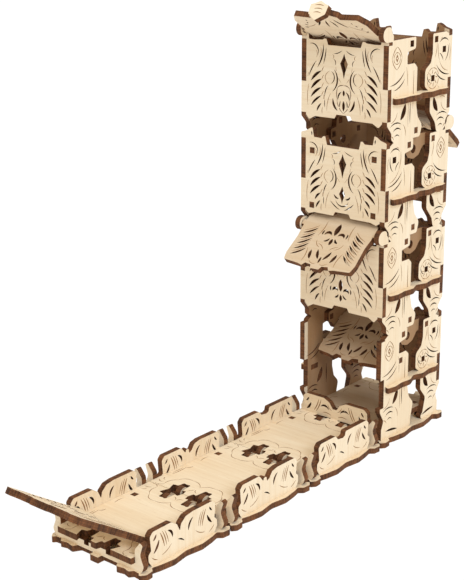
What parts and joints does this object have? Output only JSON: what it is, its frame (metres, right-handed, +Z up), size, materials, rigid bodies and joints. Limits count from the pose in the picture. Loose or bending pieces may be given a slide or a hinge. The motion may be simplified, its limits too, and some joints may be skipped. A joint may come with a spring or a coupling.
{
  "type": "dice tower",
  "caption": "Tall four-level dice tower of pierced plywood plates with seesaw flaps that pivot in ears, a walled tray of equal units and a drop gate at its front.",
  "frame": {"origin": "centre of the tower's own base plate, on its underside, which stands on the table", "axes": "+X to the right as seen from the tray end, +Y from the tray towards the tower's back, +Z up"},
  "size_m": [0.0796, 0.3841, 0.3048],
  "materials": {
    "pale_plywood": "matte"
  },
  "bodies": {
    "frame": {"back_panel_1": "pale_plywood", "back_panel_2": "pale_plywood", "back_panel_3": "pale_plywood", "back_panel_4": "pale_plywood", "base_plate_0": "pale_plywood", "base_plate_1": "pale_plywood", "base_plate_2": "pale_plywood", "base_plate_3": "pale_plywood", "braces_1": "pale_plywood", "braces_2": "pale_plywood", "braces_3": "pale_plywood", "braces_4": "pale_plywood", "end_ribs_0": "pale_plywood", "end_ribs_1": "pale_plywood", "end_ribs_2": "pale_plywood", "end_ribs_3": "pale_plywood", "entrance_wall": "pale_plywood", "floor_plate_0": "pale_plywood", "floor_plate_1": "pale_plywood", "floor_plate_2": "pale_plywood", "floor_plate_3": "pale_plywood", "front_panel_2": "pale_plywood", "front_panel_3": "pale_plywood", "front_panel_4": "pale_plywood", "pegs": "pale_plywood", "ribs_1": "pale_plywood", "ribs_2": "pale_plywood", "ribs_3": "pale_plywood", "ribs_4": "pale_plywood", "side_back_left_1": "pale_plywood", "side_back_left_2": "pale_plywood", "side_back_left_3": "pale_plywood", "side_back_left_4": "pale_plywood", "side_back_right_1": "pale_plywood", "side_back_right_2": "pale_plywood", "side_back_right_3": "pale_plywood", "side_back_right_4": "pale_plywood", "side_front_left_1": "pale_plywood", "side_front_left_2": "pale_plywood", "side_front_left_3": "pale_plywood", "side_front_left_4": "pale_plywood", "side_front_right_1": "pale_plywood", "side_front_right_2": "pale_plywood", "side_front_right_3": "pale_plywood", "side_front_right_4": "pale_plywood", "stack_links_1": "pale_plywood", "stack_links_2": "pale_plywood", "stack_links_3": "pale_plywood", "tray_wall_left_1": "pale_plywood", "tray_wall_left_2": "pale_plywood", "tray_wall_left_3": "pale_plywood", "tray_wall_right_1": "pale_plywood", "tray_wall_right_2": "pale_plywood", "tray_wall_right_3": "pale_plywood", "unit_links": "pale_plywood"},
    "flap_1": {"flap_1": "pale_plywood"},
    "flap_2": {"flap_2": "pale_plywood"},
    "flap_3": {"flap_3": "pale_plywood"},
    "flap_4": {"flap_4": "pale_plywood"},
    "gate": {"gate": "pale_plywood"}
  },
  "joints": [
    {"name": "flap_1_pivot", "type": "hinge", "parent": "frame", "child": "flap_1", "pos_m": [0, 0, 0.071], "axis": [-1, 0, 0], "range_deg": [0, 90]},
    {"name": "flap_2_pivot", "type": "hinge", "parent": "frame", "child": "flap_2", "pos_m": [0, -0.039, 0.1505], "axis": [-1, 0, 0], "range_deg": [0, 70]},
    {"name": "flap_3_pivot", "type": "hinge", "parent": "frame", "child": "flap_3", "pos_m": [0, 0.039, 0.217], "axis": [1, 0, 0], "range_deg": [0, 72]},
    {"name": "flap_4_pivot", "type": "hinge", "parent": "frame", "child": "flap_4", "pos_m": [0, -0.039, 0.2835], "axis": [1, 0, 0], "range_deg": [0, 95]},
    {"name": "gate_pivot", "type": "hinge", "parent": "frame", "child": "gate", "pos_m": [0, -0.2605, 0.0165], "axis": [-1, 0, 0], "range_deg": [-38, 57]}
  ]
}
